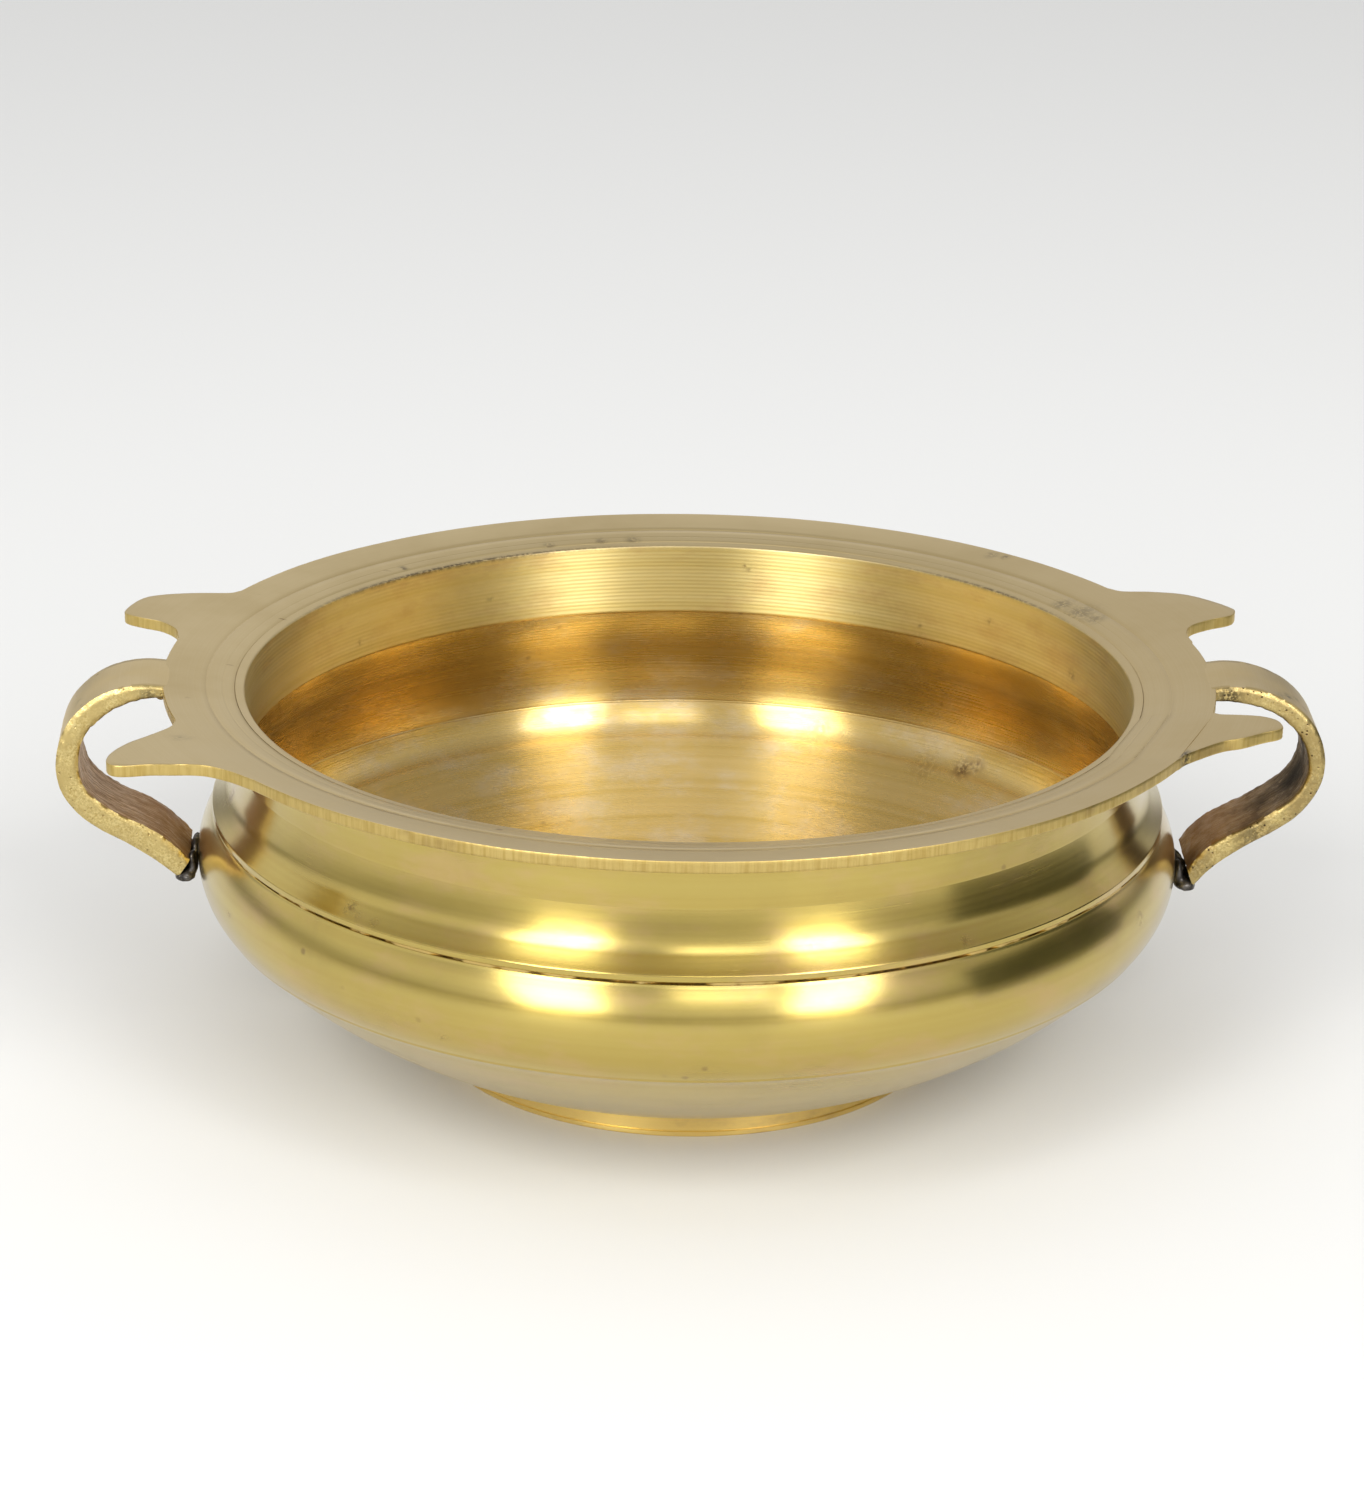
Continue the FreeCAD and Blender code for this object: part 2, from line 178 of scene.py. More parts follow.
def turned(name, outline, segments, change=None):
    """A closed piece turned about the axis from an outline, anticlockwise in the (r, z) half plane.

    change(r, z, angle) gives new radii and heights. An outline that starts and ends on the axis
    closes there in two fans.
    """
    outline = np.asarray(outline)
    on_axis = outline[0, 0] < TINY
    ring = outline[1:-1] if on_axis else outline[:-1]
    angles = np.linspace(0, 2 * math.pi, segments, endpoint=False)
    r, angle = np.meshgrid(ring[:, 0], angles, indexing="ij")
    z, angle = np.meshgrid(ring[:, 1], angles, indexing="ij")
    r = r + wobble(angle) * np.clip(r / 60, 0, 1)
    if change:
        r, z = change(r, z, angle)
    points = ring_points(r, z, angle)
    faces = grid_faces(len(ring), segments, wrap_rows=not on_axis)
    if on_axis:
        points = np.vstack([points, [0, 0, outline[0, 1]], [0, 0, outline[-1, 1]]])
        low, high = len(points) - 2, len(points) - 1
        top = (len(ring) - 1) * segments
        for j in range(segments):
            k = (j + 1) % segments
            faces.append((low, k, j))
            faces.append((high, top + j, top + k))
    return make_mesh(name, points, faces)


def place(thing, node, slot, *materials):
    """Gives a piece its materials and body, and hides the CAD node that it stands for. Slot is not used."""
    for material in materials:
        thing.data.materials.append(material)
    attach(thing, "root")
    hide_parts(node)


def paint(thing, spots, name="stain"):
    """A soft mask on the mesh from spots: (angle, height, radius, size, strength, stretch).

    Height None means any height. Stretch may be left out; it makes a spot longer round the bowl.
    """
    mesh = thing.data
    co = np.zeros(len(mesh.vertices) * 3)
    mesh.vertices.foreach_get("co", co)
    co = co.reshape(-1, 3) / MM
    r = np.hypot(co[:, 0], co[:, 1])
    mask = np.zeros(len(co))
    for angle, height, radius, size, strength, *stretch in spots:
        turn = math.radians(angle)
        across = co[:, 1] * math.cos(turn) - co[:, 0] * math.sin(turn)
        along = co[:, 0] * math.cos(turn) + co[:, 1] * math.sin(turn)
        other_side = np.where(along < 0, 1e6, 0)
        far = (across / (stretch[0] if stretch else 1.0)) ** 2 + other_side
        if height is not None:
            far = far + (co[:, 2] - height) ** 2
        far = far + (r - radius) ** 2
        mask = np.maximum(mask, strength * np.exp(-far / size ** 2))
    layer = mesh.attributes.new(name, "FLOAT", "POINT")
    layer.data.foreach_set("value", mask.astype(np.float32))


# -------------------------------- material helpers

# Highlights are drawn out along the turning lines (0) or across them (a quarter of a turn).
ALONG_LINES = 0.0
ACROSS_LINES = 0.25
# Where a pit's dark core ends and where it fades out, as shares of the spacing of the pits.
PIT_CORE, PIT_RIM = 0.10, 0.24


class Shader:
    """A node material under construction; its methods return sockets to plug on."""

    def __init__(self, name, anisotropic=0.0, rotation=ALONG_LINES):
        self.material = bpy.data.materials.new(name)
        self.material.use_nodes = True
        self.tree = self.material.node_tree
        self.surface = self.tree.nodes["Principled BSDF"]
        self.surface.inputs["Metallic"].default_value = 1.0
        self.place = self.add("ShaderNodeTexCoord").outputs["Object"]
        self.height = None
        if anisotropic:
            self.surface.inputs["Anisotropic"].default_value = anisotropic
            self.surface.inputs["Anisotropic Rotation"].default_value = rotation
            tangent = self.add("ShaderNodeTangent", direction_type="RADIAL", axis="Z")
            self.link(tangent.outputs[0], self.surface.inputs["Tangent"])

    def link(self, source, target):
        if isinstance(source, bpy.types.NodeSocket):
            self.tree.links.new(source, target)
        else:
            target.default_value = source

    def add(self, kind, inputs=(), **settings):
        node = self.tree.nodes.new(kind)
        for name, value in settings.items():
            setattr(node, name, value)
        for key, value in dict(inputs).items():
            self.link(value, node.inputs[key])
        return node

    def math(self, operation, a, b=0.0):
        return self.add("ShaderNodeMath", {0: a, 1: b}, operation=operation).outputs[0]

    def times(self, a, b):
        return self.math("MULTIPLY", a, b)

    def weigh(self, a, b, share):
        """A mixture of two values, with this share of the second."""
        return self.math("ADD", self.times(a, 1 - share), self.times(b, share))

    def noise(self, vector, scale, detail=2.0, roughness=0.5, distortion=0.0):
        return self.add("ShaderNodeTexNoise", {
            "Vector": vector, "Scale": scale, "Detail": detail, "Roughness": roughness,
            "Distortion": distortion}).outputs[0]

    def step(self, value, low, high, to_low=0.0, to_high=1.0):
        return self.add("ShaderNodeMapRange", {
            "Value": value, "From Min": low, "From Max": high, "To Min": to_low,
            "To Max": to_high}, interpolation_type="SMOOTHSTEP").outputs[0]

    def mix(self, share, a, b):
        return self.add("ShaderNodeMix", {0: share, 6: colour(a), 7: colour(b)},
                        data_type="RGBA").outputs[2]

    def stretch(self, x, y, z):
        return self.add("ShaderNodeVectorMath", {0: self.place, 1: (x, y, z)},
                        operation="MULTIPLY").outputs[0]

    def rings(self, pitch, drift=0.15):
        """A vector that changes fast with radius and height and slowly round the axis."""
        parts = self.add("ShaderNodeSeparateXYZ", {0: self.place}).outputs
        flat = self.math("SQRT", self.math("ADD", self.times(parts[0], parts[0]),
                                           self.times(parts[1], parts[1])))
        wander = self.noise(self.place, 9.0, 1.0)
        radius = self.times(flat, 1 / (pitch * MM))
        rise = self.times(parts[2], 1 / (pitch * MM))
        drifted = self.times(wander, drift / pitch)
        return self.add("ShaderNodeCombineXYZ", {0: radius, 1: rise, 2: drifted}).outputs[0]

    def pits(self, size, share, seed=0.0, vector=None):
        """Small round spots; size is their spacing in millimetres and share how many show."""
        moved = self.add("ShaderNodeVectorMath", {0: vector or self.place, 1: (seed, seed * 2, -seed)},
                         operation="ADD").outputs[0]
        cells = self.add("ShaderNodeTexVoronoi", {"Vector": moved, "Scale": 1 / (size * MM)})
        near = self.step(cells.outputs["Distance"], PIT_CORE, PIT_RIM, 1.0, 0.0)
        chance = self.add("ShaderNodeSeparateColor", {0: cells.outputs["Color"]}).outputs[0]
        return self.times(near, self.math("LESS_THAN", chance, share))

    def attribute(self, name):
        return self.add("ShaderNodeAttribute", attribute_name=name).outputs["Fac"]

    def painted(self, name, scale, low, high):
        """A mask painted on the mesh, with its edges broken up by fine noise."""
        grain = self.noise(self.place, scale, 3.0, 0.7)
        return self.times(self.attribute(name), self.step(grain, low, high))

    def bump(self, height, depth):
        """Adds one layer of relief, depth in millimetres."""
        layer = self.times(height, depth * MM)
        self.height = layer if self.height is None else self.math("ADD", self.height, layer)

    def finish(self, base, dullness):
        relief = {"Strength": 1.0, "Distance": 1.0, "Height": self.height}
        self.link(base, self.surface.inputs["Base Color"])
        self.link(dullness, self.surface.inputs["Roughness"])
        self.link(self.add("ShaderNodeBump", relief).outputs[0], self.surface.inputs["Normal"])
        return self.material


def colour(value):
    """Three numbers as a colour with alpha; a socket stays as it is."""
    return (*value, 1.0) if isinstance(value, tuple) and len(value) == 3 else value


# -------------------------------- materials

# The two tones of each finish.
GOLD = ((0.515, 0.395, 0.10), (0.475, 0.35, 0.08))
# Painted light: the foot's tones are lighter than the rest of the brass, standing in for light that the shade
# under the belly takes from the foot.
FOOT_GOLD_PAINTED_LIGHT = ((0.92, 0.70, 0.24), (0.85, 0.61, 0.19))
INNER_GOLD = ((0.64, 0.46, 0.16), (0.57, 0.395, 0.105))
WALL_GOLD = ((0.72, 0.60, 0.27), (0.66, 0.53, 0.20))
GROUND = ((0.55, 0.43, 0.222), (0.50, 0.385, 0.19))
STRAP_GROUND = ((0.60, 0.47, 0.245), (0.55, 0.425, 0.21))
FILED = ((0.56, 0.42, 0.15), (0.46, 0.33, 0.10))
OXIDE_LEFT = ((0.74, 0.55, 0.38), (0.34, 0.20, 0.11))
OXIDE_RIGHT = ((0.45, 0.31, 0.14), (0.18, 0.11, 0.045))
# The lighter tone of the cast edges goes on their high spots: partly wear, partly painted highlight.
CAST_GOLD_AND_PAINTED_HIGHLIGHT = ((0.48, 0.36, 0.13), (0.70, 0.57, 0.26))
FLUX = ((0.11, 0.10, 0.09), (0.022, 0.019, 0.017))
# Single tones.
WORN = (0.66, 0.55, 0.38)
# Painted shade for the ground brass on the side towards +X.
PAINTED_SHADE_TONE = (0.44, 0.33, 0.155)
COPPERY = (0.56, 0.38, 0.16)
CAST_PATCH = (0.52, 0.40, 0.16)
SCORCHED = (0.40, 0.20, 0.055)
BRAZE_RED = (0.40, 0.27, 0.085)
BRAZE_FLUSH = (0.56, 0.40, 0.14)
SCALE_GLINT = (0.30, 0.25, 0.17)
BROWN = (0.20, 0.115, 0.045)
DARK = (0.035, 0.026, 0.018)


def turned_brass(name, tones, tarnish, lines=0.003, gloss=0.24, spread=0.75, broad_depth=0.007,
                 worn=COPPERY):
    """Lathe-turned brass: fine rings, soft streaks, scattered specks and the odd brown stain.

    Lines and broad_depth are the relief of the fine and the broad rings in millimetres, gloss the
    roughness, and spread how far highlights are drawn out across the rings.
    """
    shader = Shader(name, anisotropic=spread, rotation=ACROSS_LINES)
    shader.surface.inputs["Coat Weight"].default_value = 0.55
    shader.surface.inputs["Coat Roughness"].default_value = 0.22
    fine = shader.noise(shader.rings(0.3), 1.0, 2.0, 0.6)
    broad = shader.noise(shader.rings(2.6), 1.0, 3.0)
    patches = shader.noise(shader.place, 24.0, 5.0, 0.62, 0.4)
    smoke = shader.noise(shader.stretch(40.0, 40.0, 90.0), 1.0, 5.0, 0.7)
    where = shader.step(shader.noise(shader.place, 16.0, 2.0), 0.40, 0.68, 0.15, 1.0)
    tone = shader.mix(shader.step(broad, 0.30, 0.75), *tones)
    tone = shader.mix(shader.times(shader.step(smoke, 0.46, 0.72), 0.6), tone, worn)
    tone = shader.mix(shader.times(shader.step(patches, 0.48, 0.76), tarnish), tone, BROWN)
    stain = shader.painted("stain", 700.0, 0.38, 0.58)
    tone = shader.mix(stain, tone, BROWN)
    specks = shader.times(shader.pits(4.5, 0.07), shader.step(patches, 0.48, 0.62))
    tone = shader.mix(shader.times(specks, 0.6), tone, BROWN)
    shader.bump(shader.times(fine, where), lines)
    shader.bump(broad, broad_depth)
    shader.bump(specks, -0.03)
    dullness = shader.step(shader.weigh(fine, patches, 0.6), 0.3, 0.7, gloss - 0.04, gloss + 0.04)
    return shader.finish(tone, shader.math("ADD", dullness, shader.times(stain, 0.25)))


def ground_brass(name, light, dull):
    """The plate's top and the straps' outer faces: ground pale and satin, darker towards +X with painted
    shade.
    """
    shader = Shader(name, anisotropic=0.3)
    fine = shader.noise(shader.rings(0.25, 0.4), 1.0, 3.0, 0.65)
    broad = shader.noise(shader.rings(3.0, 0.4), 1.0, 2.0)
    patches = shader.noise(shader.place, 26.0, 4.0, 0.6)
    scratch = shader.noise(shader.stretch(160.0, 900.0, 900.0), 1.0, 3.0, 0.7)
    tone = shader.mix(shader.times(shader.step(broad, 0.3, 0.75), 0.22), light, dull)
    tone = shader.mix(shader.step(patches, 0.42, 0.80), tone, dull)
    across = shader.add("ShaderNodeSeparateXYZ", {0: shader.place}).outputs[0]
    # Painted shade: the colour darkens towards +X, the side where the surround gives less light.
    painted_shade_towards_x = shader.times(shader.step(across, 20.0 * MM, 125.0 * MM), 0.6)
    tone = shader.mix(painted_shade_towards_x, tone, PAINTED_SHADE_TONE)
    slanted = shader.add("ShaderNodeMapping", {"Vector": shader.place, "Rotation": (0, 0, 0.7),
                                               "Scale": (0.16, 1.0, 1.0)}).outputs[0]
    nicks = shader.times(shader.pits(1.6, 0.05, 0.2, slanted), shader.step(patches, 0.47, 0.60))
    tone = shader.mix(shader.times(nicks, 0.8), tone, BROWN)
    shader.bump(nicks, -0.04)
    tone = shader.mix(shader.painted("stain", 900.0, 0.35, 0.55), tone, DARK)
    specks = shader.times(shader.pits(5.0, 0.06, 0.3), shader.step(patches, 0.50, 0.60))
    tone = shader.mix(shader.times(specks, 0.7), tone, BROWN)
    shader.bump(fine, 0.004)
    shader.bump(scratch, 0.003)
    shader.bump(specks, -0.04)
    return shader.finish(tone, shader.step(shader.weigh(fine, patches, 0.6), 0.3, 0.7, 0.34, 0.46))


def filed_edge(name):
    """The plate's upright edge: filed across, with dark traces of the casting skin."""
    shader = Shader(name)
    marks = shader.noise(shader.stretch(900.0, 900.0, 60.0), 1.0, 3.0, 0.7)
    patches = shader.noise(shader.place, 45.0, 4.0, 0.65)
    tone = shader.mix(shader.step(marks, 0.35, 0.7), *FILED)
    tone = shader.mix(shader.times(shader.step(patches, 0.50, 0.72), 0.50), tone, BROWN)
    tone = shader.mix(shader.painted("stain", 800.0, 0.35, 0.55), tone, DARK)
    shader.bump(marks, 0.04)
    return shader.finish(tone, shader.step(marks, 0.3, 0.7, 0.38, 0.52))


def cast_edge(name, dirt):
    """Rough-cast strap edges: high spots lighter, partly from wear and partly as painted highlight, fine pits
    and, where dirt is high, black ones.
    """
    shader = Shader(name)
    lumps = shader.noise(shader.place, 1900.0, 4.0, 0.7)
    uneven = shader.noise(shader.place, 220.0, 3.0, 0.6)
    holes = shader.pits(1.5, 0.55, 0.7)
    dirty = shader.step(shader.noise(shader.place, 120.0, 3.0, 0.6), 0.38, 0.52)
    # High spots take the lighter tone: wear and painted highlight.
    tone = shader.mix(shader.step(lumps, 0.35, 0.65), *CAST_GOLD_AND_PAINTED_HIGHLIGHT)
    tone = shader.mix(shader.step(uneven, 0.40, 0.66), tone, CAST_PATCH)
    tone = shader.mix(shader.times(holes, 0.35), tone, BROWN)
    tone = shader.mix(shader.times(shader.times(holes, dirty), dirt), tone, DARK)
    tone = shader.mix(shader.times(dirty, 0.3 * dirt), tone, BROWN)
    tone = shader.mix(shader.painted("soot", 800.0, 0.40, 0.52), tone, DARK)
    shader.bump(lumps, 0.06)
    shader.bump(uneven, 0.12)
    shader.bump(holes, -0.09)
    return shader.finish(tone, shader.step(lumps, 0.3, 0.7, 0.52, 0.30))


def oxidised(name, tones, amount):
    """The straps' inner faces: brown oxide with darker scale and a grain along the strap."""
    shader = Shader(name)
    uv = shader.add("ShaderNodeTexCoord").outputs["UV"]
    grain = shader.add("ShaderNodeVectorMath", {0: uv, 1: (1700.0, 120.0, 1.0)}, operation="MULTIPLY")
    streak = shader.noise(grain.outputs[0], 1.0, 5.0, 0.7, 0.5)
    blotch = shader.noise(shader.place, 190.0, 4.0, 0.7)
    tone = shader.mix(shader.step(streak, 0.40, 0.60), *tones)
    tone = shader.mix(shader.times(shader.step(blotch, 0.50, 0.64), amount), tone, DARK)
    height = shader.add("ShaderNodeSeparateXYZ", {0: shader.place}).outputs[2]
    scorched = shader.times(shader.step(height, 56.0 * MM, 69.0 * MM, 1.0, 0.0),
                            shader.step(streak, 0.30, 0.50))
    tone = shader.mix(shader.times(scorched, 0.75), tone, SCORCHED)
    soot = shader.times(shader.attribute("soot"), shader.step(blotch, 0.25, 0.45))
    tone = shader.mix(soot, tone, DARK)
    shader.bump(streak, 0.14)
    shader.bump(blotch, 0.12)
    shader.surface.inputs["Metallic"].default_value = 0.6
    dullness = shader.step(blotch, 0.3, 0.7, 0.36, 0.58)
    return shader.finish(tone, shader.math("ADD", dullness, shader.times(soot, 0.3)))


def scaled_braze(name):
    """The dabs that hold the strap ends: lumpy, grey-black flux scale with small bright glints."""
    shader = Shader(name)
    lumps = shader.noise(shader.place, 420.0, 4.0, 0.6)
    glint = shader.step(shader.noise(shader.place, 900.0, 2.0, 0.5), 0.62, 0.70)
    tone = shader.mix(shader.step(lumps, 0.35, 0.65), *FLUX)
    tone = shader.mix(shader.times(glint, 0.5), tone, SCALE_GLINT)
    shader.bump(lumps, 0.25)
    shader.surface.inputs["Metallic"].default_value = 0.8
    return shader.finish(tone, shader.step(lumps, 0.3, 0.7, 0.30, 0.50))


def braze_metal(name):
    """Braze metal in the joints: dull and redder, dark with flux unless the mesh says it is flush."""
    shader = Shader(name)
    lumps = shader.noise(shader.place, 300.0, 4.0, 0.65)
    tone = shader.mix(shader.step(lumps, 0.38, 0.62), BRAZE_RED, DARK)
    tone = shader.mix(shader.attribute("flush"), tone, BRAZE_FLUSH)
    shader.bump(lumps, 0.15)
    return shader.finish(tone, 0.42)


OUTER = turned_brass("brass_turned_outside", GOLD, 0.16)
# The foot's brass, made lighter with painted light.
FOOT_BRASS_PAINTED_LIGHT = turned_brass("brass_turned_foot_painted_light", FOOT_GOLD_PAINTED_LIGHT, 0.10, lines=0.005, gloss=0.40)
INNER = turned_brass("brass_turned_inside", INNER_GOLD, 0.18, lines=0.004, gloss=0.27,
                     spread=0.92, broad_depth=0.004, worn=WORN)
WALL_INNER = turned_brass("brass_turned_neck_inside", WALL_GOLD, 0.08, lines=0.006,
                          gloss=0.46, spread=0.92)
TOP = ground_brass("brass_ground_top", *GROUND)
STRAP_TOP = ground_brass("brass_ground_strap", *STRAP_GROUND)
FILED_EDGE = filed_edge("brass_filed_edge")
CAST = {
    "left": cast_edge("brass_cast_edge_left", 0.25),
    "right": cast_edge("brass_cast_edge_right", 1.0),
}
OXIDE = {
    "left": oxidised("brass_oxide_left", OXIDE_LEFT, 0.16),
    "right": oxidised("brass_oxide_right", OXIDE_RIGHT, 0.6),
}
SCALE = scaled_braze("braze_scaled")
BRAZE = braze_metal("braze_seam_metal")


# -------------------------------- turned pieces

def pick_faces(thing, test, index=1):
    """Gives faces the material at an index where test(radius, height, lean, rise) holds.

    Lean is how far the face looks away from the axis, and rise how far it looks up, from -1 to 1.
    """
    for polygon in thing.data.polygons:
        middle = polygon.center / MM
        radius = math.hypot(middle.x, middle.y)
        lean = (middle.x * polygon.normal.x + middle.y * polygon.normal.y) / max(radius, TINY)
        if test(radius, middle.z, lean, polygon.normal.z):
            polygon.material_index = index


def belly():
    """The belly shell: flat base, shallow bowl, a soft crease and the round belly up to the seam."""
    outline = trace([
        (0.0, BASE_Z),
        (FOOT_INSIDE, BASE_Z),
        (FOOT_INSIDE, FOOT_TOP),
        (FOOT_R, FOOT_TOP),
        (113.9, 37.85, 132.0, 1),
        (115.4, 39.1, {"fine": 0.4}),
        (115.95, 39.85, 1.0, 1, {"fine": 0.15}),
        (SEAM_R + 0.1, SEAM_LOW - 0.4, 17.7, 1, {"fine": 0.6}),
        (SEAM_R - 0.4, SEAM_LOW, 0.5, 1, {"fine": 0.15}),
        (SEAM_LOW_INSIDE, SEAM_LOW),
        (117.4, 50.4, 21.0, -1, {"fine": 0.8}),
        (116.85, 46.0, 21.0, -1, {"fine": 0.6}),
        (117.0, 45.75, {"fine": 0.12}),
        (116.6, 45.3, 0.6, -1, {"fine": 0.12}),
        (113.8, 40.0, 21.0, -1, {"fine": 0.5}),
        (110.5, 37.0, 14.0, -1, {"fine": 0.5}),
        (FOOT_INSIDE - 2.0, FLOOR_Z, 128.8, -1),
        (0.0, FLOOR_Z),
    ], 1.5)
    thing = turned("belly_shell_cast", outline, 480)
    pick_faces(thing, lambda r, z, lean, rise: lean < 0.2 and rise > 0.1 or lean < -0.4 and z > FOOT_TOP)
    paint(thing, [
        (46.2, 38.5, 112, 2.6, 1), (44.5, 40, 113.5, 1.8, 0.9), (69, 40.5, 114, 2.5, 0.5),
        (66, 40, 114, 1.5, 0.5), (98.2, 26.3, 86, 0.8, 0.9), (128, 33, 103, 0.8, 0.8),
        (52, 37, 110, 4, 0.35), (262, 30, 103, 0.9, 0.6), (318, 33, 108, 1, 0.6),
        (241, 45, 119, 0.8, 0.6), (205, 52, 120, 1, 0.6), (330, 55, 120, 1.4, 0.5)])
    place(thing, "belly_shell", "body_brass", OUTER, INNER)


# Brown marks on the neck, outside and in: (angle, height, radius, size, strength).
NECK_MARKS = (
    (226.5, 67.6, 114.5, 1.3, 0.8), (228, 66, 114.5, 0.9, 0.7), (230.6, 65.4, 114.5, 1.2, 0.8),
    (186, 78, 111, 3.2, 0.5), (190.5, 70, 113, 2.6, 0.6), (300.5, 66.5, 115.5, 0.9, 0.7),
    (111.2, 72.5, 110, 0.9, 1), (79.8, 88.5, 108, 0.7, 0.9), (79.5, 87.2, 108, 0.6, 0.8),
    (117.8, 82, 108, 0.6, 0.7), (53, 75.5, 108.5, 0.7, 0.8), (52.8, 78, 108, 0.5, 0.7),
    (53.3, 72, 110, 0.6, 0.8), (40.5, 84.5, 108, 0.8, 0.6), (63, 78, 108, 0.5, 0.7),
    (141, 79, 108, 0.8, 0.5), (22, 80, 108, 1.4, 0.5),
)


def neck():
    """The neck collar: low lip over the seam, hollow cove, neck wall and the lip inside the plate."""
    line_depth = 0.042
    line_pitch = 1.05
    line_drift = 0.4
    lines_low, lines_high = 75.5, MOUTH_TOP - 1.2
    inside_low = 74.6

    def turning_lines(r, z, angle):
        wall = (r < MOUTH_R + 0.35) & (z > lines_low) & (z < lines_high)
        wave = np.sin(z * 2 * math.pi / line_pitch + line_drift * np.sin(3 * angle))
        return r + np.where(wall, line_depth * wave, 0), z

    outline = trace([
        (SEAM_INSIDE, SEAM_HIGH),
        (SEAM_R - 0.15, SEAM_HIGH),
        (SEAM_R + 0.3, SEAM_HIGH + 0.45, 0.45, 1, {"fine": 0.12}),
        (SEAM_R + 0.3, SEAM_HIGH + 1.15, {"fine": 0.15}),
        (SEAM_R + 0.12, SEAM_HIGH + 1.75, 0.6, 1, {"fine": 0.12}),
        (NECK_R + 2.60, 68.3, 45.0, -1, {"fine": 0.4}),
        (NECK_R + 0.68, 71.5, 8.3, -1, {"fine": 0.3}),
        (NECK_R - 0.50, 75.9, 42.0, -1, {"fine": 0.5}),
        (NECK_R - 0.90, 78.1, 32.0, -1, {"fine": 0.5}),
        (NECK_R, 78.5, {"fine": 0.15}),
        (NECK_R, 91.0, {"fine": 0.9}),
        (SPIGOT_R, 91.0),
        (SPIGOT_R, MOUTH_TOP - 0.05),
        (MOUTH_R + 0.5, MOUTH_TOP - 0.4, {"fine": 0.3}),
        (MOUTH_R, MOUTH_TOP - 0.9, 0.6, 1, {"fine": 0.12}),
        (MOUTH_R, 75.3, {"fine": 0.26}),
        (MOUTH_R + 0.4, 74.7, 0.5, 1, {"fine": 0.15}),
        (MOUTH_R + 1.3, 73.9, {"fine": 0.3}),
        (SEAM_INSIDE, SEAM_HIGH, 18.9, 1, {"fine": 0.6}),
    ], 1.2)
    thing = turned("neck_collar_cast", outline, 640, turning_lines)
    pick_faces(thing, lambda r, z, lean, rise: lean < -0.3 and z < inside_low)
    pick_faces(thing, lambda r, z, lean, rise: lean < -0.3 and z >= inside_low, 3)
    pick_faces(thing, lambda r, z, lean, rise: r < SPIGOT_R + 0.1 and rise > 0.5, 2)
    lip = ((124.0, MOUTH_TOP - 0.5, MOUTH_R + 0.1, 0.7, 0.8, 60.0),
           (40.0, MOUTH_TOP - 0.5, MOUTH_R + 0.1, 0.5, 0.6, 50.0))
    paint(thing, NECK_MARKS + lip)
    place(thing, "neck_collar", "body_brass", OUTER, INNER, TOP, WALL_INNER)


def foot():
    """The foot ring with one scribed line above its lip."""
    outline = trace([
        (FOOT_INSIDE, 0.0),
        (FOOT_R - 0.5, 0.0),
        (FOOT_R, 0.5, 0.5, 1, {"fine": 0.15}),
        (FOOT_R, 1.3, {"fine": 0.3}),
        (FOOT_R - 0.3, 1.5, {"fine": 0.1}),
        (FOOT_R - 0.05, 1.75, {"fine": 0.1}),
        (FOOT_R - 0.1, FOOT_TOP - 0.3, {"fine": 0.6}),
        (FOOT_R - 0.4, FOOT_TOP, {"fine": 0.2}),
        (FOOT_INSIDE, FOOT_TOP),
        (FOOT_INSIDE, 0.0),
    ], 1.2)
    place(turned("foot_ring_turned", outline, 480), "foot_ring", "foot_brass", FOOT_BRASS_PAINTED_LIGHT)


def seam():
    """Braze metal in the seam: nearly flush in places and deep in others, which leaves a dark line."""
    def fill(r, z, angle):
        around = np.stack([np.cos(angle), np.sin(angle), 0 * angle], -1).reshape(-1, 3) * SEAM_R
        level = rough(around, 14.0, 3.0).reshape(r.shape) + 0.4 * rough(around, 3.0, 5.0).reshape(r.shape)
        outside = r > SEAM_R - 1.0
        return np.where(outside, r + np.clip(level * 2.4 - 0.1, -0.8, 0.55), r), z

    outline = trace([
        (SEAM_LOW_INSIDE, SEAM_LOW),
        (SEAM_R - 0.6, SEAM_LOW - 0.05),
        (SEAM_R - 0.6, SEAM_HIGH + 0.05),
        (SEAM_INSIDE, SEAM_HIGH),
        (SEAM_LOW_INSIDE, SEAM_LOW),
    ], 1.0)
    thing = turned("seam_braze_uneven", outline, 720, fill)
    pick_faces(thing, lambda r, z, lean, rise: lean < -0.5)
    flush = thing.data.attributes.new("flush", "FLOAT", "POINT")
    for vertex in thing.data.vertices:
        radius = math.hypot(vertex.co.x, vertex.co.y) / MM
        flush.data[vertex.index].value = min(1.0, max(0.0, (radius - SEAM_R + 0.75) / 0.5))
    place(thing, "seam_braze", "braze_metal", BRAZE, INNER)


def fillet(name, node, outline, seed):
    """A ragged fillet of braze metal turned about the axis."""
    def ragged(r, z, angle):
        return r + 0.14 * rough(ring_points(r, z, angle), 3.0, seed).reshape(r.shape), z

    place(turned(name, trace(outline, 0.6), 480, ragged), node, "braze_metal", BRAZE)


# -------------------------------- rim plate

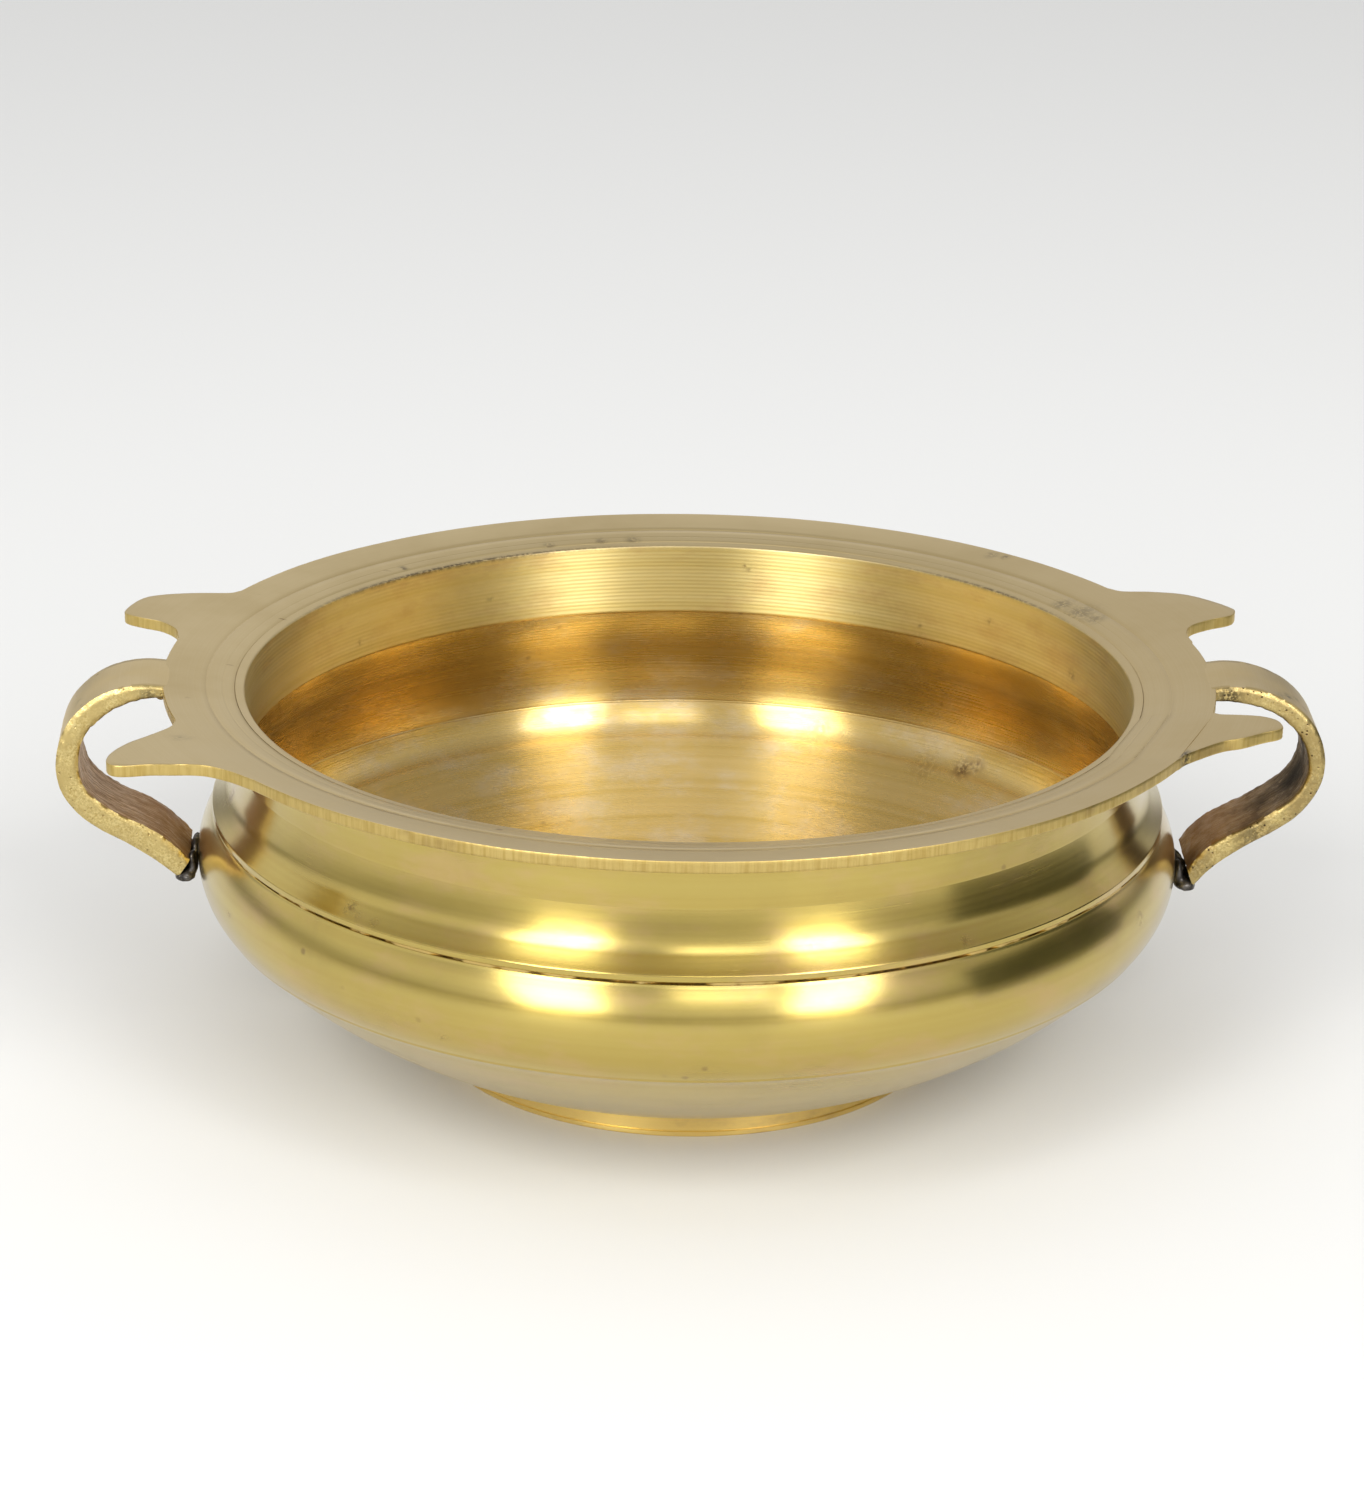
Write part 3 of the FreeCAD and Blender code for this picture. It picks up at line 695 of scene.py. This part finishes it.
# The four lugs were cut by eye: each edge is a smooth curve through (radius, angle) points.
LUGS = (
    ((128, 8.2), (128.6, 10.9), (131.6, 13), (137.7, 14), (143.7, 14.5), (146.6, 15.7), (146.9, 16.8),
     (144.6, 19.6), (141, 22.4), (134.8, 24.9), (129.3, 26.9), (127.8, 28.6)),
    ((127.8, 153.4), (129.4, 154.8), (136.8, 157.2), (142.9, 159.2), (145.8, 160.7), (146.6, 162.8),
     (146.3, 165.2), (144.3, 166.2), (139.8, 166.8), (134.9, 167.2), (130.2, 168.6), (128, 170.8)),
    ((127.8, 198.6), (130.4, 200.6), (136.8, 202.7), (143, 204.2), (148.2, 205.9), (151, 207.5),
     (150.9, 208.8), (148.2, 209.6), (143.7, 210.2), (139.3, 211.1), (134.9, 211.9), (131.9, 212.9),
     (129.2, 215.2), (127.8, 218)),
    ((127.8, 329.3), (128.4, 331.3), (133.2, 335.5), (137.4, 337.1), (141.4, 339.2), (144.2, 340.4),
     (144.9, 341.4), (143.2, 342.9), (139.8, 343.7), (135, 343.9), (130, 344), (127.7, 344.6)),
)


def plate_outline():
    """Angles and radii of the plate's edge: the circle with its four lugs, evenly spaced."""
    first_angle, degrees_apart, spacing = -31.4, 0.3, 0.7
    outline = []
    for lug in LUGS:
        begin = math.degrees(math.atan2(*outline[-1][::-1])) % 360 if outline else first_angle
        for angle in np.arange(begin + 0.4, lug[0][1] - 0.2, degrees_apart):
            turn = math.radians(angle)
            outline.append((PLATE_R * math.cos(turn), PLATE_R * math.sin(turn)))
        corners = [(r * math.cos(math.radians(a)), r * math.sin(math.radians(a))) for r, a in lug]
        outline += [tuple(point) for point in smooth_path(corners, 90)]
    x, y = np.array(outline).T
    length = np.concatenate([[0], np.cumsum(np.hypot(np.diff(x), np.diff(y)))])
    even = np.arange(0, length[-1], spacing)
    x, y = np.interp(even, length, x), np.interp(even, length, y)
    angle = np.unwrap(np.arctan2(y, x))
    angle = np.maximum.accumulate(angle + np.arange(len(angle)) * 1e-7)
    return angle, np.hypot(x, y)


# Dark marks on the plate's top and edge, as for NECK_MARKS.
PLATE_MARKS = (
    (331, None, 127.6, 2.2, 1), (130.8, None, 112, 0.9, 1), (47.2, None, 124.5, 1.6, 0.5),
    (45.5, None, 125.5, 1, 0.6), (25, None, 113.5, 4, 0.45), (29, None, 113, 2.5, 0.5),
    (22, None, 114, 2.5, 0.45), (96, None, 111.5, 1.8, 0.5), (100.5, None, 111.6, 1.5, 0.5),
    (108, None, 111.2, 1.5, 0.5), (258, None, 120, 0.6, 0.6), (204, None, 130, 1.8, 0.3),
)
# The plate's top: the groove at its joint with the neck, a scribed line, and where the edge begins.
JOINT_GROOVE = 113.2
SCRIBED_LINE = 117.2
EDGE_BEGIN = 125.0
# The edge's section from the top: (inset from the outline, drop below the top), corners softened.
EDGE_SECTION = ((0.12, 0.06), (0.0, 0.30), (0.03, 0.9), (0.0, 1.5), (0.04, 2.1), (0.0, 2.5), (0.12, 2.74),
                (0.35, PLATE_THICK))


def plate_rows(angle, edge):
    """Radii and heights of rings over the plate, down its edge and back; the first row underneath."""
    line, groove = SCRIBED_LINE, JOINT_GROOVE
    inset = EDGE_SECTION[-1][0]
    flat = [SPIGOT_R, SPIGOT_R + 0.25, 111.5, 112.8, 113.05, groove, 113.35, 113.6, 115.0, line - 0.45,
            line - 0.2, line, line + 0.2, line + 0.45, 119.0, 121.0, 123.0, EDGE_BEGIN]
    cut = {SPIGOT_R: -0.22, groove: -0.07, line - 0.2: -0.12, line: -0.20, line + 0.2: -0.12}
    rows = [(np.full_like(angle, radius), crown(radius) + cut.get(radius, 0.0)) for radius in flat]
    for share in np.linspace(0.12, 1, 9) ** 0.8:
        r = EDGE_BEGIN + (edge - inset - EDGE_BEGIN) * share
        rows.append((r, crown(r)))
    rows += [(edge - step, crown(edge) - drop) for step, drop in EDGE_SECTION]
    under = len(rows)
    for share in np.linspace(0, 1, 12)[1:]:
        r = edge - inset + (SPIGOT_R - edge + inset) * share
        rows.append((r, crown(r) - PLATE_THICK))
    r = np.array([np.broadcast_to(row[0], angle.shape) for row in rows])
    z = np.array([np.broadcast_to(row[1], angle.shape) for row in rows])
    return r, z, under


def rim_plate():
    """The dished plate: concentric lines on its crowned top, softened corners, a filed edge."""
    angle, edge = plate_outline()
    r, z, under = plate_rows(angle, edge)
    over = under - len(EDGE_SECTION)
    turn = np.broadcast_to(angle, r.shape)
    points = ring_points(r, z, turn)
    file_marks = np.zeros(r.shape)
    for row in range(over, under):
        line_points = points.reshape(*r.shape, 3)[row] * (1, 1, 0.25)
        file_marks[row] = 0.03 * rough(line_points, 1.6, 11.0) + 0.10 * rough(line_points, 12.0, 12.0, 1)
    waves = 0.10 * rough(points, 38.0, 2.0, 1).reshape(r.shape) * np.clip((r - 111) / 12, 0, 1)
    points = ring_points(r + file_marks + wobble(turn), z + waves, turn)
    columns = len(angle)
    thing = make_mesh("rim_plate_ground", points, grid_faces(len(r), columns), 50.0)
    for polygon in thing.data.polygons:
        row = min(polygon.vertices) // columns
        if over <= row:
            polygon.material_index = 1 if row < under else 2
    paint(thing, PLATE_MARKS)
    place(thing, "rim_plate", "plate_brass", TOP, FILED_EDGE, OUTER)


# -------------------------------- straps

STRAP_WIDTH = 21.0
STRAP_SWING = math.radians(3.2)
# The parts of a strap's section, which are also its material numbers, and how uneven each is.
OUTER_FACE, CAST_EDGE, INNER_FACE = 0, 1, 2
UNEVEN = {OUTER_FACE: 0.04, CAST_EDGE: 0.15, INNER_FACE: 0.18}
# Each face of a strap runs through (out from the plate's edge, height) points, hand-bent and uneven.
STRAP_OUTER = {
    "left": [(-3, 96.6), (4, 97.1), (9, 96.6), (14, 95), (18.6, 92), (22.6, 87.6), (25, 82), (25.8, 76),
             (24.6, 70), (21, 64.6), (16, 60.5), (10, 57), (4.5, 53.3), (0.6, 50.3), (-2.4, 47.6)],
    "right": [(-3, 96.6), (4, 97.2), (9.5, 96.7), (15, 94.9), (20.2, 91.8), (24.4, 87.3), (26.9, 81.5),
              (27.3, 75.5), (25.6, 70), (21.6, 64.4), (16.2, 60.2), (10.4, 56.7), (5, 53), (0.8, 49.4),
              (-2.8, 45.2)],
}
STRAP_INNER = {
    "left": [(-1, 94), (4, 93.6), (9, 92.2), (13.2, 89.8), (16.8, 86.8), (19.2, 83.4), (20.2, 79), (20.3, 75),
             (19, 71), (16, 67.6), (11.5, 64.4), (6.5, 61.8), (1.8, 59), (-1.8, 55.8), (-5.4, 51.9)],
    "right": [(-1, 93.5), (5, 93.3), (11, 92), (15.8, 89.7), (19.6, 86.4), (22.4, 82.3), (23.5, 77.5),
              (22.8, 73), (20.4, 69), (16.6, 65.8), (11.4, 62.2), (6, 59.2), (1.4, 56.4), (-2, 53),
              (-4.4, 49.4)],
}
# Soot on the inner faces and at the roots, and dark scratches outside, as for NECK_MARKS.
STRAP_SOOT = {
    "left": [(187.5, 95, 131, 2.2, 0.7), (184, 50, 124, 4, 0.6), (186, 83, 146, 1, 0.7)],
    "right": [(-3, 79, 151, 8, 0.9), (-3, 71, 149, 9.5, 1), (-3, 64, 142, 6, 0.7),
              (-7.6, 95, 131, 3, 0.9), (-6.5, 50, 126, 4, 0.6), (-7.3, 60, 139, 5.5, 0.55)],
}
STRAP_SCRATCHES = {
    "left": [(184, 90, 148, 1.5, 0.3)],
    "right": [(-5, 93.5, 146, 1.3, 0.9), (-3.8, 92, 148.5, 1, 0.8), (-6.2, 94.5, 143.5, 1, 0.8),
              (-4.6, 90, 150.5, 0.9, 0.7)],
}


def smooth_path(points, count):
    """A Catmull-Rom curve through the points, at evenly spread parameters."""
    points = np.array(points, float)
    padded = np.vstack([2 * points[0] - points[1], points, 2 * points[-1] - points[-2]])
    result = []
    for value in np.linspace(0, len(points) - 1 - 1e-9, count):
        k, t = int(value), value - int(value)
        a, b, c, d = padded[k:k + 4]
        result.append(0.5 * (2 * b + (c - a) * t + (2 * a - 5 * b + 4 * c - d) * t ** 2
                             + (3 * b - a - 3 * c + d) * t ** 3))
    return np.array(result)


def strap_section():
    """Points round the strap's section: (across from -1 to 1, up from 0 to 1 outside, part)."""
    corner_across, corner_up = 0.055, 0.22
    face_steps, edge_steps = 12, 10
    half = 1 - corner_across

    def bulge(up):
        return 1 - corner_across * max(0.0, abs(up - 0.5) - (0.5 - corner_up)) / corner_up

    section = [(-half + 2 * half * k / face_steps, 1.0, OUTER_FACE) for k in range(face_steps + 1)]
    for k in range(1, edge_steps):
        up = 1 - k / edge_steps
        section.append((bulge(up), up, CAST_EDGE))
    section += [(half - 2 * half * k / face_steps, 0.0, INNER_FACE) for k in range(face_steps + 1)]
    for k in range(1, edge_steps):
        up = k / edge_steps
        section.append((-bulge(up), up, CAST_EDGE))
    return section


def strap_grid(side, section, along):
    """Points and UVs of a bent strap, as rows of its section from the plate down to the belly."""
    sign = 1 if side == "right" else -1
    flush = [(-2.4, crown(PLATE_R - 2.4) - 0.15), (-1.0, crown(PLATE_R - 1.0) + 0.03)]
    outer = smooth_path(flush + STRAP_OUTER[side][1:], along)
    inner = smooth_path([(-2.4, STRAP_INNER[side][0][1])] + STRAP_INNER[side], along)
    heading = Vector((sign * math.cos(STRAP_SWING), -math.sin(STRAP_SWING), 0))
    across = Vector((math.sin(STRAP_SWING), sign * math.cos(STRAP_SWING), 0)) * sign
    points, uvs = [], []
    for k in range(along):
        for a, up, _ in section:
            out, height = inner[k] + (outer[k] - inner[k]) * up
            here = heading * (PLATE_R + out) + across * (STRAP_WIDTH / 2 * a)
            points.append((here.x, here.y, height))
            uvs.append((a * STRAP_WIDTH * MM / 2, k / along * 0.1))
    return np.array(points).reshape(along, len(section), 3), uvs


def roughened(shape, part, seed):
    """A strap's points moved along their normals, least near the root, where it runs into the plate."""
    normal = np.cross(np.gradient(shape, axis=0), np.roll(shape, -1, 1) - np.roll(shape, 1, 1))
    normal /= np.maximum(np.linalg.norm(normal, axis=2, keepdims=True), 1e-9)
    facing = np.sum(normal * (shape - shape.mean(1, keepdims=True)), 2).mean()
    normal = normal * (1 if facing > 0 else -1)
    amount = np.array([UNEVEN[kind] for kind in part])[None, :, None]
    points = shape.reshape(-1, 3)
    grid = (*shape.shape[:2], 1)
    bumps = rough(points, 1.5, seed).reshape(grid) * amount
    bumps = bumps + rough(points, 9.0, seed + 3, 1).reshape(grid) * amount * 0.9
    root = np.clip((np.arange(len(shape)) - 12) / 12, 0.15, 1)[:, None, None]
    return (shape + normal * bumps * root).reshape(-1, 3)


def strap(side):
    """One bent strap: smooth outer face, rough-cast edges, oxidised inner face."""
    along = 170
    section = strap_section()
    part = [kind for _, _, kind in section]
    columns = len(section)
    shape, uvs = strap_grid(side, section, along)
    points = roughened(shape, part, 21.0 if side == "right" else 34.0)
    faces = grid_faces(along, columns, wrap_rows=False)
    faces.append(tuple(range(columns)))
    faces.append(tuple(reversed(range((along - 1) * columns, along * columns))))
    thing = make_mesh(f"strap_{side}_bent", points, faces, 60.0)
    uv = thing.data.uv_layers.new(name="along_strap")
    for loop in thing.data.loops:
        uv.data[loop.index].uv = uvs[loop.vertex_index]
    for polygon in thing.data.polygons:
        kinds = {part[vertex % columns] for vertex in polygon.vertices}
        one_face = len(kinds) == 1 and len(polygon.vertices) == 4
        polygon.material_index = kinds.pop() if one_face else CAST_EDGE
    paint(thing, STRAP_SCRATCHES[side])
    paint(thing, STRAP_SOOT[side], "soot")
    place(thing, f"strap_handle_{side}", "strap_brass", STRAP_TOP, CAST[side], OXIDE[side])


# -------------------------------- braze dabs and beads

def lump(name, node, slot, material, blobs, seed, voxel=0.55, depth=0.4):
    """A lumpy mass: overlapping balls given as (centre, size) fused by remeshing, then roughened."""
    work = bmesh.new()
    for centre, size in blobs:
        ball = bmesh.ops.create_icosphere(work, subdivisions=4, radius=1.0)
        for vertex in ball["verts"]:
            vertex.co = Vector(vertex.co[i] * size[i] + centre[i] for i in range(3))
    mesh = bpy.data.meshes.new(name)
    for vertex in work.verts:
        vertex.co = vertex.co * MM
    work.to_mesh(mesh)
    work.free()
    thing = add_object(name, mesh)
    remesh = thing.modifiers.new("fuse", "REMESH")
    remesh.mode = "VOXEL"
    remesh.voxel_size = voxel * MM
    smooth = thing.modifiers.new("soften", "SMOOTH")
    smooth.factor, smooth.iterations = 0.6, 6
    shaped = bpy.data.meshes.new_from_object(thing.evaluated_get(bpy.context.evaluated_depsgraph_get()))
    bpy.data.objects.remove(thing)
    shaped.name = name
    points = np.array([v.co / MM for v in shaped.vertices])
    normals = np.array([v.normal for v in shaped.vertices])
    bumps = depth * (rough(points, 3.2, seed) + 0.4 * rough(points, 1.1, seed + 1))
    shaped.vertices.foreach_set("co", ((points + normals * bumps[:, None]) * MM).ravel())
    shaped.polygons.foreach_set("use_smooth", [True] * len(shaped.polygons))
    shaped.update()
    place(add_object(name, shaped), node, slot, material)


# A dab's overlapping balls: (along Y, up, out) from the strap's end, then sizes along Y, up and out.
DAB_BALLS = (
    (-8.4, -0.1, -2.5, 3.2, 1.5, 2.7), (-7.6, 2.6, -4.3, 2.4, 3.6, 1.1), (-2.5, 0.5, -2.9, 4.6, 2, 2.4),
    (2, 0.7, -3, 4.8, 2.1, 2.4), (7, 0.6, -3, 3.6, 2, 2.3), (3.5, 2.8, -4.2, 5, 3, 1.2),
)


def strap_dab(side):
    """The dark dab that holds a strap's lower end to the belly."""
    low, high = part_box(f"strap_braze_{side}")
    middle = (low.y + high.y) / 2 / MM
    sign = 1 if side == "right" else -1
    end_out, end_height = STRAP_OUTER[side][-1]
    blobs = []
    for shift, height, out, wide, tall, thick in DAB_BALLS:
        centre = (sign * (PLATE_R + end_out + out), middle + shift, end_height + height)
        blobs.append((centre, (thick, wide, tall)))
    seed = 41.0 if sign > 0 else 57.0
    lump(f"strap_dab_{side}", f"strap_braze_{side}", "scaled_braze", SCALE, blobs, seed)


def root_bead(side):
    """The thin bead of braze under a strap's root."""
    low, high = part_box(f"root_braze_{side}")
    centre, half = (low + high) / 2 / MM, (high - low) / 2 / MM
    blobs = []
    for k in range(7):
        share = (k - 3) / 4.2
        middle = (centre.x, centre.y + share * half.y, centre.z + 0.35)
        blobs.append((middle, (half.x * 0.6, half.y * 0.18, half.z * 0.5)))
    lump(f"root_bead_{side}", f"root_braze_{side}", "braze_metal", BRAZE, blobs, 71.0, 0.3, 0.12)


# -------------------------------- stage, lights and camera

AIM = Vector((0, 0, 93.3)) * MM
VIEW_TURN = math.radians(2.25)
VIEW_TILT = math.radians(19.33)
VIEW_ROLL = math.radians(0.87)
VIEW_DISTANCE = 0.9
FOCAL = 88.24
SHIFT_X, SHIFT_Y = -0.00486667, -0.04833333
SOFTBOX_DISTANCE = 2.6
HORIZON = 0.26
# The surround's brightness against the sine of the height above the horizon: a grey room with a
# light band of wall and a light ceiling.
SKY = ((0.10, HORIZON), (0.18, 0.95), (0.30, 1.12), (0.55, 1.12), (0.66, 0.70), (0.90, 0.62),
       (0.955, 1.1), (0.975, 1.35), (0.99, 1.25), (1.0, 1.0))
# It is this much dimmer towards +X: the sine of the direction, and the strength there.
SHADE = {"From Min": 0.05, "From Max": 0.60, "To Min": 0.90, "To Max": 0.72}


def direction(azimuth, elevation):
    """From the bowl towards an azimuth (0 is the camera's side, positive to its right)."""
    a, e = math.radians(azimuth) - VIEW_TURN, math.radians(elevation)
    return Vector((math.sin(a) * math.cos(e), -math.cos(a) * math.cos(e), math.sin(e)))


def camera():
    """The camera; its shifts are shares of the picture's height."""
    data = bpy.data.cameras.new("camera")
    data.sensor_width = 36.0
    data.lens = FOCAL
    data.shift_x, data.shift_y = SHIFT_X, SHIFT_Y
    data.clip_start, data.clip_end = 0.05, 50.0
    thing = add_object("camera", data)
    back = direction(0, math.degrees(VIEW_TILT))
    right = Vector((math.cos(VIEW_TURN), -math.sin(VIEW_TURN), 0))
    up = back.cross(right)
    rolled_right = right * math.cos(VIEW_ROLL) + up * math.sin(VIEW_ROLL)
    rolled_up = up * math.cos(VIEW_ROLL) - right * math.sin(VIEW_ROLL)
    axes = Matrix((rolled_right, rolled_up, back)).transposed().to_4x4()
    thing.matrix_world = Matrix.Translation(AIM + back * VIEW_DISTANCE) @ axes
    bpy.context.scene.camera = thing


def softbox(name, azimuth, elevation, roll, wide, tall, radiance):
    """A soft rectangular light that faces the bowl; roll leans its top to the right, in degrees."""
    data = bpy.data.lights.new(name, "AREA")
    data.shape = "RECTANGLE"
    data.size, data.size_y = wide, tall
    data.energy = radiance * math.pi * wide * tall
    thing = add_object(name, data)
    towards = direction(azimuth, elevation)
    turn = Matrix.Rotation(math.radians(-roll), 4, "Z")
    thing.matrix_world = (Matrix.Translation(AIM + towards * SOFTBOX_DISTANCE)
                          @ towards.to_track_quat("Z", "Y").to_matrix().to_4x4() @ turn)
    thing.visible_camera = False


def sheet(name, corners, material_name, tint):
    """One flat matt face that belongs to the studio."""
    mesh = bpy.data.meshes.new(name)
    mesh.from_pydata(corners, [], [(0, 1, 2, 3)])
    thing = add_object(name, mesh)
    material = bpy.data.materials.new(material_name)
    material.use_nodes = True
    surface = material.node_tree.nodes["Principled BSDF"]
    surface.inputs["Base Color"].default_value = colour(tint)
    surface.inputs["Roughness"].default_value = 0.9
    mesh.materials.append(material)
    return thing


def dark_card():
    """A dark card to the right of the bowl, as a photographer sets one: only reflections see it."""
    azimuth, distance, half, low, high = 80, 0.42, 0.17, 0.005, 0.24
    across, middle = direction(azimuth + 90, 0), direction(azimuth, 0) * distance
    corners = [middle + across * side * half + Vector((0, 0, height)) for side, height in
               ((-1, low), (1, low), (1, high), (-1, high))]
    card = sheet("dark_card", corners, "card_olive", (0.05, 0.055, 0.035))
    card.visible_camera = card.visible_diffuse = card.visible_shadow = False


def pale_floor():
    half = 4.0
    corners = [(-half, -half, 0), (half, -half, 0), (half, half, 0), (-half, half, 0)]
    sheet("floor", corners, "floor_paper", (0.74, 0.74, 0.73))


def surround():
    """A soft grey room: its brightness follows the height above the horizon, and is less towards +X."""
    world = bpy.data.worlds.new("studio")
    bpy.context.scene.world = world
    world.use_nodes = True
    tree = world.node_tree
    background = tree.nodes["Background"]
    coords = tree.nodes.new("ShaderNodeTexCoord")
    parts = tree.nodes.new("ShaderNodeSeparateXYZ")
    ramp = tree.nodes.new("ShaderNodeValToRGB")
    tree.links.new(coords.outputs["Generated"], parts.inputs[0])
    tree.links.new(parts.outputs[2], ramp.inputs[0])
    tree.links.new(ramp.outputs[0], background.inputs[0])
    stops = ramp.color_ramp.elements
    stops.remove(stops[1])
    stops[0].position = 0.0
    stops[0].color = colour((HORIZON,) * 3)
    for sine, level in SKY:
        stops.new(sine).color = (level, level, level, 1)
    shade = tree.nodes.new("ShaderNodeMapRange")
    shade.interpolation_type = "SMOOTHSTEP"
    tree.links.new(parts.outputs[0], shade.inputs["Value"])
    for key, value in SHADE.items():
        shade.inputs[key].default_value = value
    tree.links.new(shade.outputs[0], background.inputs[1])


def studio():
    """A pale floor, a soft grey surround, three soft lights and a dark card."""
    pale_floor()
    surround()
    softbox("softbox_left", -31, 31, -16, 0.76, 2.00, 9.0)
    softbox("softbox_right", 35, 31, 16, 0.68, 2.00, 9.0)
    softbox("softbox_middle", 9, 40, 0, 0.84, 0.84, 3.0)
    dark_card()
    bpy.context.scene.view_settings.view_transform = "Standard"


def rim_braze():
    """The fillet in the corner between the neck and the plate's underside."""
    inner, outer = NECK_R - 0.1, NECK_R + BRAZE_LEG
    top = crown(NECK_R) - PLATE_THICK
    fillet("rim_braze_ragged", "rim_braze", [
        (inner, top),
        (inner, top - BRAZE_LEG),
        (outer, crown(outer) - PLATE_THICK, 3.0, -1),
        (inner, top),
    ], 7.0)


def foot_braze():
    """The fillet in the corner between the belly's base and the foot's inside."""
    outer, top = FOOT_INSIDE + 0.1, BASE_Z + 0.1
    fillet("foot_braze_ragged", "foot_braze", [
        (outer, top),
        (FOOT_INSIDE - 2.0, top),
        (outer, BASE_Z - 2.0, 2.8, -1),
        (outer, top),
    ], 8.0)


belly()
neck()
foot()
seam()
rim_braze()
foot_braze()
rim_plate()
for side in ("left", "right"):
    strap(side)
    strap_dab(side)
    root_bead(side)
studio()
camera()
